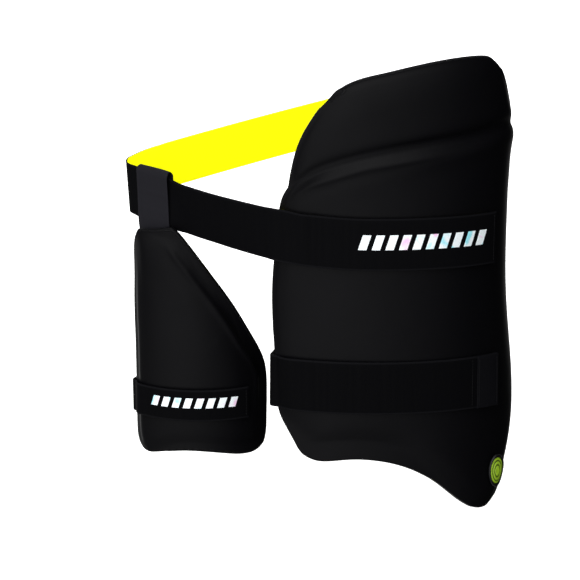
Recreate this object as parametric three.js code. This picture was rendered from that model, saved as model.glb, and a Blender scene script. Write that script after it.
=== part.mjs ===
// Cricket thigh guard: an outer pad for the front and side of one thigh and the hip, and a smaller
// inner pad for the other thigh, on one waist belt. Each pad is held to its leg by an elastic strap.
// The origin is the middle of the waist. X runs to the wearer's left, Y to the back and Z up.
// Sizes are in millimetres and angles in degrees.
import * as THREE from 'three';

// Outer pad
const OUTER_WIDTH = 256;        // round the front, from edge to edge
const OUTER_HEIGHT = 400;       // from the tip of the lobe to the hip edge
const OUTER_CORE = 14;          // thickness of the padding
const OUTER_RIM = 5;            // thickness at the sewn edge
const OUTER_BAND = 3;           // flat band along the sewn edge
const OUTER_SHOULDER = 18;      // slope from the band up to the padding
const OUTER_HEM = 22;           // thin hem under the padding
const HINGE_DEPTH = 3.6;        // groove between thigh and hip
const LOBE_FLARE = 13.5;        // how far the lobe stands out to the side
const HIP_FLARE = 5;            // the same for the hip
const OUTER_EDGE_X = -43.8;     // where the pad's edge meets the front of the body
const OUTER_EDGE_Y = -111;
const OUTER_HEADING = -24;      // direction of the pad at that edge

// Inner pad
const INNER_WIDTH = 143;
const INNER_HEIGHT = 204;
const INNER_CORE = 12;
const INNER_RIM = 4.5;
const INNER_BAND = 3;
const INNER_SHOULDER = 9;
const INNER_HEM = 11;
const INNER_WRAP = 99;          // how far it reaches round the thigh
const INNER_HANG_SHARE = 0.18;  // where it hangs, as a share of its width
const INNER_TWIST = 3;          // its turn from the belt that carries it

// Waist belt, a black elastic with a yellow lining
const BELT_WIDTH = 44;
const BELT_CLOTH = 1.2;
const LINING_CLOTH = 1;
const BELT_SLOPE = 18;          // the loop rises to the back
const BELT_RISE = 11.3;         // height of its middle over the middle of the waist
const BELT_OVERLAP = 199;       // length that lies on the outer pad
const FRONT_RUN = 137.5;          // from the outer pad to the fold
const FOLD_RADIUS = 5;
const BACK_RUN = 200;           // from the fold to behind the outer pad
const BACK_RISE = 2;            // the folded part comes to lie this much higher
const BELT_LEAN = 10;           // the upper edge leans out of the loop, in front
const FOLD_LEAN = 3;            // at the fold
const BACK_LEAN = -16;          // and behind, where the loop's slope turns it the other way
const BELT_SEAM = 32;           // length sewn inside the outer pad's far edge

// Hanger, a folded elastic that carries the inner pad on the belt
const HANGER_WIDTH = 37;
const HANGER_CLOTH = 1.2;
const HANGER_PLACE = 108;       // along the belt from the outer pad
const HANGER_SLACK = 4.2;       // half depth of its open top
const HANGER_RISE = 4.6;        // rise of its top over the belt's upper edge, where the belt is lower
const HANGER_DROP = 5;          // from the belt's lower edge to the inner pad
const HANGER_SHIFT = 4;         // its foot lies this much nearer to the inner pad's left edge
const HANGER_NARROW = 0.86;     // its width behind the pad, as a share
const HANGER_TONGUE = 24;       // length sewn behind the inner pad

// Leg straps
const OUTER_STRAP_WIDTH = 46;
const OUTER_STRAP_CLOTH = 1.6;
const OUTER_STRAP_DROP = 156;   // below the waist
const OUTER_STRAP_END = 199;    // along the outer pad
const OUTER_LOOP_DEPTH = 162;   // from the pad's edge to the back of the thigh
const TAB_LENGTH = 20;
const TAB_CLOTH = 1.2;
const INNER_STRAP_WIDTH = 28.5;
const INNER_STRAP_CLOTH = 1.5;
const INNER_STRAP_DROP = 187;
const INNER_STRAP_END = 116;
const INNER_LOOP_DEPTH = 98;
const STRAP_SEAM = 26;          // length sewn inside each pad's far edge

// Badge on the lobe
const BADGE_DIAMETER = 24;
const BADGE_HEIGHT = 3;
const BADGE_BORDER = 2.2;
const BADGE_ALONG = 0.784;      // share of the pad's width
const BADGE_UP = -0.602;        // share of the pad's height

// Clearances
const GAP = 0.3;                // between pieces that lie on each other
const OUTSIDE_GAP = 0.6;        // over a pad's outer face
const INSIDE_GAP = 1;           // behind its hollow face

const OUTER_SHARE = 0.6;        // part of a pad's taper that is on its outer face

const radians = THREE.MathUtils.degToRad;
const smooth = (x) => THREE.MathUtils.smoothstep(x, 0, 1);
const bell = (distance, width) => Math.exp(-((distance / width) ** 2));

// A plan is a chain of arcs seen from above. Each row has its share of the width and its turn.
function makePlan(x0, y0, heading, width, rows) {
  return (along) => {
    let x = x0;
    let y = y0;
    let turn = radians(heading);
    let rest = along;
    for (const [index, row] of rows.entries()) {
      const length = row.share * width;
      const bend = radians(row.turn) / length;
      const step = index === rows.length - 1 ? rest : Math.min(rest, length);
      x += (Math.sin(turn + bend * step) - Math.sin(turn)) / bend;
      y += (Math.cos(turn) - Math.cos(turn + bend * step)) / bend;
      turn += bend * step;
      rest -= step;
      if (rest <= 0) break;
    }
    return { x, y, turn };
  };
}

// A curve through rows of a table, in millimetres along the pad and up.
function edgeCurve(rows, width, height, zero = 0) {
  const points = rows.map((row) => new THREE.Vector3(row.along * width, zero + row.up * height, 0));
  return new THREE.CatmullRomCurve3(points, false, 'centripetal');
}

// The height of a curve at a place along the pad.
function heightAlong(curve, samples = 60) {
  const points = curve.getSpacedPoints(samples);
  return (along) => {
    let next = points.findIndex((point) => point.x > along);
    if (next < 0) next = samples;
    if (next === 0) next = 1;
    const a = points[next - 1];
    const b = points[next];
    return THREE.MathUtils.lerp(a.y, b.y, THREE.MathUtils.clamp((along - a.x) / (b.x - a.x), 0, 1));
  };
}

// Places from 0 to length: close together at the ends, where the edge slopes, and even between.
function spacing(length, first, last, between) {
  const fit = Math.min(1, (0.8 * length) / (first.at(-1) + last.at(-1)));
  const places = first.map((place) => place * fit);
  const from = places.at(-1);
  const to = length - last.at(-1) * fit;
  for (let step = 1; step < between; step++) places.push(THREE.MathUtils.lerp(from, to, step / between));
  for (const place of [...last].reverse()) places.push(length - place * fit);
  return places.map((place) => place / length);
}

// A patch between four edge curves, as rows of points from its lower edge to its upper one.
function patch({ lower, upper, left, right, columns, rows }) {
  const corner = [lower.getPoint(0), lower.getPoint(1), upper.getPoint(0), upper.getPoint(1)];
  const across = columns.map((u) => {
    const a = lower.getPointAt(u);
    const b = upper.getPointAt(u);
    return { u, a, b, steps: rows(a.distanceTo(b)) };
  });
  return across[0].steps.map((_, row) => across.map(({ u, a, b, steps }) => {
    const v = steps[row];
    const side = left.getPointAt(v).multiplyScalar(1 - u).addScaledVector(right.getPointAt(v), u);
    const span = a.clone().multiplyScalar(1 - v).addScaledVector(b, v);
    const corners = corner[0].clone().multiplyScalar((1 - u) * (1 - v))
      .addScaledVector(corner[1], u * (1 - v))
      .addScaledVector(corner[2], (1 - u) * v)
      .addScaledVector(corner[3], u * v);
    return side.add(span).sub(corners);
  }));
}

// The closed outline of a grid of points, and the distance of a place to it.
function gridOutline(grid) {
  const top = grid.length - 1;
  const end = grid[0].length - 1;
  const loop = [];
  for (let column = 0; column < end; column++) loop.push([0, column]);
  for (let row = 0; row < top; row++) loop.push([row, end]);
  for (let column = end; column > 0; column--) loop.push([top, column]);
  for (let row = top; row > 0; row--) loop.push([row, 0]);
  return loop;
}
function distanceTo(points) {
  return (along, up) => {
    let nearest = Infinity;
    points.forEach((a, index) => {
      const b = points[(index + 1) % points.length];
      const dx = b.x - a.x;
      const dy = b.y - a.y;
      const t = THREE.MathUtils.clamp(((along - a.x) * dx + (up - a.y) * dy) / (dx * dx + dy * dy), 0, 1);
      nearest = Math.min(nearest, Math.hypot(along - a.x - t * dx, up - a.y - t * dy));
    });
    return nearest;
  };
}

// A closed body from points and triangles, turned so that its faces point out.
function closedBody(points, triangles) {
  let volume = 0;
  const cross = new THREE.Vector3();
  for (const [a, b, c] of triangles) volume += points[a].dot(cross.crossVectors(points[b], points[c]));
  const order = volume > 0 ? triangles : triangles.map(([a, b, c]) => [a, c, b]);
  const geometry = new THREE.BufferGeometry();
  geometry.setFromPoints(points);
  geometry.setIndex(order.flat());
  geometry.computeVertexNormals();
  return geometry;
}

// A pad: an outer and an inner face over one grid, and a rounded rim between them.
function padBody(pad) {
  const { grid } = pad;
  const columns = grid[0].length;
  const loop = gridOutline(grid);
  const points = [];
  const triangles = [];
  for (const face of [pad.outerFace, pad.innerFace]) {
    for (const row of grid) for (const place of row) points.push(pad.place(place.x, place.y, face(place.x, place.y)));
  }
  const count = grid.length * columns;
  for (let row = 0; row < grid.length - 1; row++) {
    for (let column = 0; column < columns - 1; column++) {
      const a = row * columns + column;
      const b = a + 1;
      const c = a + columns + 1;
      const d = a + columns;
      triangles.push([a, b, c], [a, c, d]);
      triangles.push([count + a, count + c, count + b], [count + a, count + d, count + c]);
    }
  }
  const rimStart = points.length;
  loop.forEach(([row, column], index) => {
    const here = grid[row][column];
    const [rowBack, columnBack] = loop[(index + loop.length - 1) % loop.length];
    const [rowOn, columnOn] = loop[(index + 1) % loop.length];
    const along = grid[rowOn][columnOn].clone().sub(grid[rowBack][columnBack]).normalize();
    const bulge = pad.rim / 4;
    const x = here.x + along.y * bulge;
    const y = here.y - along.x * bulge;
    const middle = (pad.outerFace(here.x, here.y) + pad.innerFace(here.x, here.y)) / 2;
    points.push(pad.place(x, y, middle));
  });
  loop.forEach(([row, column], index) => {
    const on = (index + 1) % loop.length;
    const [rowOn, columnOn] = loop[on];
    const a = row * columns + column;
    const b = rowOn * columns + columnOn;
    const m = rimStart + index;
    const n = rimStart + on;
    triangles.push([a, m, n], [a, n, b], [m, count + a, count + b], [m, count + b, n]);
  });
  return closedBody(points, triangles);
}

// Faces of a pad at a place: how far they lie from its plan. The padding thins to a rim at its edge.
function padFaces(pad) {
  const thickness = (along, up) => {
    const distance = pad.edgeDistance(along, up) - pad.hem(along, up);
    const climb = THREE.MathUtils.clamp(distance / pad.shoulder, 0, 1);
    return pad.rim + (pad.core - pad.rim) * (1 - (1 - climb) ** 2);
  };
  pad.outerFace = (along, up) => -OUTER_SHARE * (pad.core - thickness(along, up)) + pad.relief(along, up);
  pad.innerFace = (along, up) => -OUTER_SHARE * (pad.core - thickness(along, up)) - thickness(along, up);
  pad.place = (along, up, lift) => {
    const { x, y, turn } = pad.plan(along);
    return new THREE.Vector3(x + Math.sin(turn) * lift + pad.flare(along, up), y - Math.cos(turn) * lift, up);
  };
  return pad;
}

// A body swept through rings of points, closed by a strip of faces at each end. Both faces of a band
// are cut along the same diagonal, so that two bands that lie on each other stay apart.
function sweep(rings) {
  const size = rings[0].length;
  const triangles = [];
  for (let ring = 0; ring < rings.length - 1; ring++) {
    for (let side = 0; side < size; side++) {
      const a = ring * size + side;
      const b = ring * size + ((side + 1) % size);
      if (side < size / 2) triangles.push([a, b, b + size], [a, b + size, a + size]);
      else triangles.push([a, b, a + size], [b, b + size, a + size]);
    }
  }
  const last = (rings.length - 1) * size;
  for (let side = 0; side < size / 2 - 1; side++) {
    const far = size - 1 - side;
    triangles.push([side, far, far - 1], [side, far - 1, side + 1]);
    triangles.push([last + side, last + far - 1, last + far], [last + side, last + side + 1, last + far - 1]);
  }
  return closedBody(rings.flat(), triangles);
}

// Stations along a route: each has its point, the direction out of the loop and its lean, which is
// how far it moves out for each millimetre up. A place with no lean takes one from its neighbours.
function stations(route) {
  const known = [...route.keys()].filter((index) => route[index].lean !== undefined);
  return route.map((point, index) => {
    const before = route[Math.max(index - 1, 0)];
    const after = route[Math.min(index + 1, route.length - 1)];
    const out = new THREE.Vector3(before.y - after.y, after.x - before.x, 0).normalize();
    const from = known.findLast((place) => place <= index) ?? known[0];
    const to = known.find((place) => place >= index) ?? known.at(-1);
    const share = to > from ? (index - from) / (to - from) : 0;
    return { point, out, lean: THREE.MathUtils.lerp(route[from].lean, route[to].lean, share) };
  });
}

// A band of cloth along stations, between two offsets out of the loop.
function band(places, width, inside, outside) {
  return sweep(places.map(({ point, out, lean }) => [[inside, -1], [outside, -1], [outside, 1], [inside, 1]]
    .map(([offset, side]) => {
      const up = (side * width) / 2;
      const corner = point.clone().addScaledVector(out, offset + up * lean);
      corner.z += up;
      return corner;
    })));
}

// Points on a cubic curve between two places with their directions, without its first point.
function bridge(from, fromHeading, fromReach, to, toHeading, toReach, steps) {
  const towards = (point, heading, reach) => new THREE.Vector3(
    point.x + Math.cos(radians(heading)) * reach, point.y + Math.sin(radians(heading)) * reach, 0);
  const curve = new THREE.CubicBezierCurve3(
    new THREE.Vector3(from.x, from.y, 0), towards(from, fromHeading, fromReach),
    towards(to, toHeading, -toReach), new THREE.Vector3(to.x, to.y, 0));
  return curve.getSpacedPoints(steps).slice(1);
}

// A place for a band on a face of a pad. It leans as the pad does, and clears the pad at each of
// these shares of its width.
const ACROSS = [-0.5, -0.3, -0.1, 0.1, 0.3, 0.5];
function onFace(pad, face, along, up, width, clearance, floor = -Infinity) {
  const { turn } = pad.plan(along);
  const out = new THREE.Vector3(Math.sin(turn), -Math.cos(turn), 0);
  const base = pad.place(along, up, 0);
  const offsets = ACROSS.map((share) =>
    pad.place(along, up + share * width, face(along, up + share * width)).sub(base).dot(out));
  const lean = (offsets.at(-1) - offsets[0]) / width;
  const rest = offsets.map((offset, index) => offset - lean * ACROSS[index] * width);
  const lift = clearance > 0 ? Math.max(floor, ...rest) : Math.min(...rest);
  const place = pad.place(along, up, lift + clearance);
  place.lean = lean;
  return place;
}

// Outer pad
const OUTER_PLAN = [
  { share: 0.574, turn: 38 },
  { share: 0.184, turn: 20 },
  { share: 0.195, turn: 60 },
  { share: 0.047, turn: 8 },
];
const OUTER_LOWER = [
  { along: 0.089, up: -0.521 },
  { along: 0.114, up: -0.548 },
  { along: 0.146, up: -0.563 },
  { along: 0.185, up: -0.566 },
  { along: 0.246, up: -0.559 },
  { along: 0.308, up: -0.555 },
  { along: 0.367, up: -0.557 },
  { along: 0.427, up: -0.564 },
  { along: 0.486, up: -0.577 },
  { along: 0.547, up: -0.599 },
  { along: 0.609, up: -0.632 },
  { along: 0.660, up: -0.663 },
  { along: 0.707, up: -0.683 },
  { along: 0.734, up: -0.690 },
  { along: 0.764, up: -0.689 },
];
const OUTER_GROOVE = [
  { along: 0.066, up: 0.030 },
  { along: 0.113, up: 0.050 },
  { along: 0.150, up: 0.066 },
  { along: 0.221, up: 0.084 },
  { along: 0.326, up: 0.103 },
  { along: 0.441, up: 0.117 },
  { along: 0.528, up: 0.125 },
  { along: 0.618, up: 0.132 },
  { along: 0.680, up: 0.137 },
  { along: 0.764, up: 0.148 },
  { along: 0.841, up: 0.155 },
  { along: 0.955, up: 0.155 },
];
const OUTER_UPPER = [
  { along: 0.219, up: 0.2190 },
  { along: 0.266, up: 0.2400 },
  { along: 0.323, up: 0.2570 },
  { along: 0.408, up: 0.2730 },
  { along: 0.493, up: 0.2855 },
  { along: 0.580, up: 0.2950 },
  { along: 0.640, up: 0.2990 },
  { along: 0.712, up: 0.3005 },
  { along: 0.748, up: 0.2970 },
  { along: 0.770, up: 0.2850 },
];
const OUTER_LEFT = [
  { along: 0.089, up: -0.521 },
  { along: 0.056, up: -0.487 },
  { along: 0.036, up: -0.463 },
  { along: 0.027, up: -0.445 },
  { along: 0.017, up: -0.325 },
  { along: 0.010, up: -0.261 },
  { along: 0.007, up: -0.201 },
  { along: 0.011, up: -0.149 },
  { along: 0.017, up: -0.117 },
  { along: 0.038, up: -0.006 },
  { along: 0.051, up: 0.016 },
  { along: 0.066, up: 0.030 },
];
const OUTER_HIP_LEFT = [
  { along: 0.066, up: 0.030 },
  { along: 0.080, up: 0.078 },
  { along: 0.092, up: 0.109 },
  { along: 0.113, up: 0.140 },
  { along: 0.143, up: 0.171 },
  { along: 0.179, up: 0.200 },
  { along: 0.219, up: 0.219 },
];
const OUTER_RIGHT = [
  { along: 0.764, up: -0.689 },
  { along: 0.795, up: -0.676 },
  { along: 0.830, up: -0.650 },
  { along: 0.862, up: -0.613 },
  { along: 0.910, up: -0.575 },
  { along: 0.955, up: -0.530 },
  { along: 0.985, up: -0.450 },
  { along: 1.000, up: -0.320 },
  { along: 1.000, up: -0.150 },
  { along: 0.992, up: 0.010 },
  { along: 0.975, up: 0.090 },
  { along: 0.955, up: 0.155 },
];
const OUTER_HIP_RIGHT = [
  { along: 0.955, up: 0.155 },
  { along: 0.930, up: 0.170 },
  { along: 0.895, up: 0.190 },
  { along: 0.868, up: 0.211 },
  { along: 0.842, up: 0.238 },
  { along: 0.812, up: 0.266 },
  { along: 0.770, up: 0.285 },
];

const groove = edgeCurve(OUTER_GROOVE, OUTER_WIDTH, OUTER_HEIGHT);
const grooveHeight = heightAlong(groove);
const outerColumns = spacing(OUTER_WIDTH, [0, 2, 5, 9, 14, 20], [0, 2, 5, 9, 14, 20], 13);
const outerMain = patch({
  lower: edgeCurve(OUTER_LOWER, OUTER_WIDTH, OUTER_HEIGHT),
  upper: groove,
  left: edgeCurve(OUTER_LEFT, OUTER_WIDTH, OUTER_HEIGHT),
  right: edgeCurve(OUTER_RIGHT, OUTER_WIDTH, OUTER_HEIGHT),
  columns: outerColumns,
  rows: (length) => spacing(length, [0, 3, 9, 15, 20, 23, 28, 35], [0, 2, 4.5, 8, 11, 14, 18, 24, 31], 9),
});
const outerHip = patch({
  lower: groove,
  upper: edgeCurve(OUTER_UPPER, OUTER_WIDTH, OUTER_HEIGHT),
  left: edgeCurve(OUTER_HIP_LEFT, OUTER_WIDTH, OUTER_HEIGHT),
  right: edgeCurve(OUTER_HIP_RIGHT, OUTER_WIDTH, OUTER_HEIGHT),
  columns: outerColumns,
  rows: (length) => spacing(length, [0, 2, 4.5, 8, 13], [0, 2, 5, 9, 14, 20], 4),
});

const outerGrid = [...outerMain, ...outerHip.slice(1)];
const outer = padFaces({
  grid: outerGrid,
  plan: makePlan(OUTER_EDGE_X, OUTER_EDGE_Y, OUTER_HEADING, OUTER_WIDTH, OUTER_PLAN),
  core: OUTER_CORE,
  rim: OUTER_RIM,
  shoulder: OUTER_SHOULDER,
  edgeDistance: distanceTo(gridOutline(outerGrid).map(([row, column]) => outerGrid[row][column])),
  // The padding stops above the bottom edge on the front of the thigh.
  hem: (along, up) => {
    const low = smooth((-0.44 * OUTER_HEIGHT - up) / (0.08 * OUTER_HEIGHT));
    const front = 1 - smooth((along / OUTER_WIDTH - 0.4) / 0.22);
    return OUTER_BAND + (OUTER_HEM - OUTER_BAND) * low * front;
  },
  // The groove, the crisp ridge under it and the soft roll under that, which closes on it.
  relief: (along, up) => {
    const above = up - grooveHeight(along);
    const share = along / OUTER_WIDTH;
    const start = smooth((share - 0.06) / 0.06);
    const side = 1 - 0.75 * smooth((share - 0.74) / 0.14);
    const ridge = 1.3 * bell(above + 11, 3.4) * (1 - smooth((share - 0.5) / 0.15));
    const rollDrop = THREE.MathUtils.lerp(25, 14, smooth((share - 0.2) / 0.5));
    const roll = 1.3 * bell(above + rollDrop, 4.5);
    return start * (ridge + side * roll - side * HINGE_DEPTH * bell(above, 4.2));
  },
  // The lobe and the hip stand out to the side.
  flare: (along, up) => {
    const side = Math.max(0, (along / OUTER_WIDTH - 0.35) / 0.65) ** 1.5;
    const low = smooth((-0.15 * OUTER_HEIGHT - up) / (0.35 * OUTER_HEIGHT));
    const high = smooth((up - 0.0375 * OUTER_HEIGHT) / (0.1125 * OUTER_HEIGHT));
    return side * (LOBE_FLARE * low + HIP_FLARE * high);
  },
});

// Places along the outer face of a pad, from one place to another, for a band that lies on it.
function onOuterFace(pad, from, to, step, up, width, thickness, floor) {
  const count = Math.max(1, Math.round((from - to) / step));
  const places = [];
  for (let index = 0; index <= count; index++) {
    const along = THREE.MathUtils.lerp(from, to, index / count);
    places.push(onFace(pad, pad.outerFace, along, up, width, OUTSIDE_GAP + thickness / 2, floor));
  }
  return places;
}

// Places on the hollow face of a pad, from its far edge inwards, where a band's end is sewn.
function onInnerFace(pad, width, length, up, bandWidth, thickness) {
  const steps = 4;
  const places = [];
  for (let index = 0; index <= steps; index++) {
    const along = width - (length * index) / steps;
    places.push(onFace(pad, pad.innerFace, along, up, bandWidth, -INSIDE_GAP - thickness / 2));
  }
  return places;
}

// A free run of cloth as a chain of arcs, each with its length, its bend and its number of steps.
function arcs(from, heading, rows) {
  const places = [];
  let { x, y } = from;
  let turn = radians(heading);
  for (const { length, bend, steps } of rows) {
    for (let index = 0; index < steps; index++) {
      turn -= radians(bend) / steps / 2;
      x += (Math.cos(turn) * length) / steps;
      y += (Math.sin(turn) * length) / steps;
      turn -= radians(bend) / steps / 2;
      places.push(new THREE.Vector3(x, y, from.z));
    }
  }
  return { places, heading: THREE.MathUtils.radToDeg(turn) };
}
const headingOf = (from, to) => THREE.MathUtils.radToDeg(Math.atan2(to.y - from.y, to.x - from.x));

// Waist belt: its route starts at its free end on the outer pad, runs to the left, folds back,
// passes behind the wearer and ends inside the outer pad's far edge.
const beltStack = BELT_CLOTH + GAP + LINING_CLOTH;
const beltHeight = (y) => BELT_RISE + Math.tan(radians(BELT_SLOPE)) * y;
const beltOnPad = onOuterFace(outer, BELT_OVERLAP, 0, 8, beltHeight(OUTER_EDGE_Y), BELT_WIDTH, beltStack, 0);
const FOLD_TURN = 86;
const FRONT_STEPS = 14;
const FOLD_STEPS = 9;
const BACK_STEPS = 11;
const HIDDEN_STEPS = 20;
const beltFree = arcs(beltOnPad.at(-1), 180 + OUTER_HEADING, [
  { length: FRONT_RUN, bend: 14, steps: FRONT_STEPS },
  { length: radians(FOLD_TURN) * FOLD_RADIUS, bend: FOLD_TURN, steps: FOLD_STEPS },
  { length: 0.2 * BACK_RUN, bend: 25, steps: 5 },
  { length: 0.8 * BACK_RUN, bend: 3, steps: BACK_STEPS - 5 },
]);
const beltSeam = onInnerFace(outer, OUTER_WIDTH, BELT_SEAM, beltHeight(OUTER_EDGE_Y / 2),
  BELT_WIDTH, beltStack);
const backEnd = beltFree.places.at(-1);
const hiddenSpan = backEnd.distanceTo(beltSeam[0]);
const beltRoute = [
  ...beltOnPad,
  ...beltFree.places,
  ...bridge(backEnd, beltFree.heading, 0.6 * hiddenSpan,
    beltSeam[0], headingOf(beltSeam[0], beltSeam[1]), 0.5 * hiddenSpan, HIDDEN_STEPS),
  ...beltSeam.slice(1),
];
// The belt follows the slope of the waist, and lies level where the outer pad turns to the side.
let level = Infinity;
for (const place of [...beltOnPad].reverse()) {
  level = Math.min(level, beltHeight(place.y));
  place.z = level;
}
beltRoute.slice(beltOnPad.length).forEach((place, index) => {
  place.z = beltHeight(place.y) + BACK_RISE * smooth((index - FRONT_STEPS - 2) / FOLD_STEPS);
});
// Its upper edge leans out of the loop, by these degrees at these places of its free run.
const leanAt = [
  { place: 5, lean: BELT_LEAN },
  { place: FRONT_STEPS - 6, lean: BELT_LEAN },
  { place: FRONT_STEPS - 4, lean: -FOLD_LEAN },
  { place: FRONT_STEPS - 2, lean: -FOLD_LEAN },
  { place: FRONT_STEPS, lean: FOLD_LEAN },
  { place: FRONT_STEPS + FOLD_STEPS, lean: FOLD_LEAN },
  { place: FRONT_STEPS + FOLD_STEPS + 4, lean: BACK_LEAN },
  { place: FRONT_STEPS + FOLD_STEPS + BACK_STEPS, lean: BACK_LEAN },
];
for (const { place, lean } of leanAt) beltRoute[beltOnPad.length - 1 + place].lean = Math.tan(radians(lean));
const beltPlaces = stations(beltRoute);

// A station of the belt's free run at a distance from the outer pad.
function beltAt(distance) {
  const place = beltOnPad.length - 1 + (distance / FRONT_RUN) * FRONT_STEPS;
  const a = beltPlaces[Math.floor(place)];
  const b = beltPlaces[Math.floor(place) + 1];
  const t = place - Math.floor(place);
  return {
    point: a.point.clone().lerp(b.point, t),
    out: a.out.clone().lerp(b.out, t).normalize(),
    lean: THREE.MathUtils.lerp(a.lean, b.lean, t),
  };
}

// Inner pad: it hangs in front of the belt, with room for the hanger behind its rim.
const hangStation = beltAt(HANGER_PLACE);
const innerBend = radians(INNER_WRAP) / INNER_WIDTH;
const innerRimDepth = OUTER_SHARE * (INNER_CORE - INNER_RIM) + INNER_RIM;
const hangAhead = beltStack / 2 + INSIDE_GAP + HANGER_CLOTH + GAP + innerRimDepth
  + (HANGER_WIDTH ** 2 * innerBend) / 8;
const hangAlong = INNER_HANG_SHARE * INNER_WIDTH;
const hangTurn = THREE.MathUtils.radToDeg(Math.atan2(hangStation.out.x, -hangStation.out.y));
const innerHeading = hangTurn + INNER_TWIST - INNER_WRAP * INNER_HANG_SHARE;
const INNER_PLAN = [{ share: 1, turn: INNER_WRAP }];
const hangPlace = hangStation.point.clone().addScaledVector(hangStation.out, hangAhead);
const hangOffset = makePlan(0, 0, innerHeading, INNER_WIDTH, INNER_PLAN)(hangAlong);
const innerTop = hangStation.point.z - BELT_WIDTH / 2 - HANGER_DROP;

const INNER_LOWER = [
  { along: 0.087, up: -0.985 },
  { along: 0.136, up: -0.993 },
  { along: 0.286, up: -0.971 },
  { along: 0.415, up: -0.960 },
  { along: 0.533, up: -0.964 },
  { along: 0.649, up: -0.974 },
  { along: 0.727, up: -0.985 },
  { along: 0.791, up: -0.993 },
  { along: 0.850, up: -0.993 },
  { along: 0.922, up: -0.981 },
  { along: 0.960, up: -0.962 },
];
const INNER_UPPER = [
  { along: 0.102, up: -0.018 },
  { along: 0.240, up: -0.010 },
  { along: 0.347, up: 0.000 },
];
const INNER_LEFT = [
  { along: 0.087, up: -0.985 },
  { along: 0.046, up: -0.960 },
  { along: 0.024, up: -0.921 },
  { along: 0.023, up: -0.668 },
  { along: 0.024, up: -0.449 },
  { along: 0.019, up: -0.377 },
  { along: 0.032, up: -0.161 },
  { along: 0.049, up: -0.075 },
  { along: 0.070, up: -0.045 },
  { along: 0.102, up: -0.018 },
];
const INNER_RIGHT = [
  { along: 0.960, up: -0.962 },
  { along: 0.985, up: -0.930 },
  { along: 0.996, up: -0.815 },
  { along: 1.000, up: -0.705 },
  { along: 0.998, up: -0.620 },
  { along: 0.966, up: -0.560 },
  { along: 0.880, up: -0.475 },
  { along: 0.780, up: -0.362 },
  { along: 0.683, up: -0.263 },
  { along: 0.632, up: -0.218 },
  { along: 0.490, up: -0.094 },
  { along: 0.388, up: -0.022 },
  { along: 0.347, up: 0.000 },
];
const innerEdge = (rows) => edgeCurve(rows, INNER_WIDTH, INNER_HEIGHT, innerTop);
const innerLeft = innerEdge(INNER_LEFT);
const innerUpper = innerEdge(INNER_UPPER);
const innerGrid = patch({
  lower: innerEdge(INNER_LOWER),
  upper: innerUpper,
  left: innerLeft,
  right: innerEdge(INNER_RIGHT),
  columns: spacing(INNER_WIDTH, [0, 2, 4.5, 8, 12], [0, 2.5, 6, 10, 14, 19], 8),
  rows: (length) => spacing(length, [0, 2.5, 6, 10, 14, 19], [0, 2, 5, 9, 14], 11),
});
const inner = padFaces({
  grid: innerGrid,
  plan: makePlan(hangPlace.x - hangOffset.x, hangPlace.y - hangOffset.y, innerHeading, INNER_WIDTH, INNER_PLAN),
  core: INNER_CORE,
  rim: INNER_RIM,
  shoulder: INNER_SHOULDER,
  edgeDistance: distanceTo(gridOutline(innerGrid).map(([row, column]) => innerGrid[row][column])),
  // The hem is narrow on the left and wider under the padding and along the slanted edge.
  hem: (along) => INNER_BAND + (INNER_HEM - INNER_BAND) * smooth((along / INNER_WIDTH - 0.1) / 0.3),
  relief: () => 0,
  flare: () => 0,
});

// Hanger: a strip folded over the belt, with both ends sewn behind the inner pad. Each line is its
// route at one place across its width.
const innerTopAt = heightAlong(innerUpper);
const HANGER_LINES = [-0.5, -0.17, 0.17, 0.5];
const HANGER_STEPS = 30;
const alongPad = (share) => hangAlong - HANGER_SHIFT - share * HANGER_WIDTH * HANGER_NARROW;
function hangerLine(share) {
  const { point, out, lean } = beltAt(HANGER_PLACE + share * HANGER_WIDTH);
  const along = alongPad(share);
  const top = innerTopAt(along);
  const half = BELT_WIDTH / 2;
  const leg = beltStack / 2 + INSIDE_GAP + HANGER_CLOTH / 2;
  const onBelt = (ahead, up) => {
    const place = point.clone().addScaledVector(out, ahead + up * lean);
    place.z += up;
    return place;
  };
  const onPad = (down, layer) => {
    const up = top - down;
    const depth = Math.min(...HANGER_LINES.map((line) => inner.innerFace(alongPad(line), up - 4)));
    return inner.place(along, up, depth - GAP - HANGER_CLOTH / 2 - layer * (HANGER_CLOTH + GAP));
  };
  const route = [onPad(HANGER_TONGUE, 0), onPad(HANGER_TONGUE * 0.6, 0), onPad(4, 0), onBelt(leg, -1.5 - half), onBelt(leg, 1 - half)];
  // Its top is level, so it rises more over the belt where the belt runs lower.
  const rise = THREE.MathUtils.lerp(HANGER_RISE, HANGER_CLOTH, share + 0.5);
  route.push(onBelt(THREE.MathUtils.lerp(leg, HANGER_SLACK, 0.4), 0), onBelt(HANGER_SLACK, half));
  for (const angle of [30, 60, 90, 120, 150]) {
    const turn = radians(angle);
    route.push(onBelt(HANGER_SLACK * Math.cos(turn), half + INSIDE_GAP + rise * Math.sin(turn)));
  }
  route.push(onBelt(-HANGER_SLACK, half), onBelt(-THREE.MathUtils.lerp(leg, HANGER_SLACK, 0.4), 0));
  route.push(onBelt(-leg, 1 - half), onBelt(-leg, -1.5 - half));
  route.push(onPad(8, 1), onPad(HANGER_TONGUE * 0.6, 1), onPad(HANGER_TONGUE, 1));
  return new THREE.CatmullRomCurve3(route, false, 'centripetal').getSpacedPoints(HANGER_STEPS);
}
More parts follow.
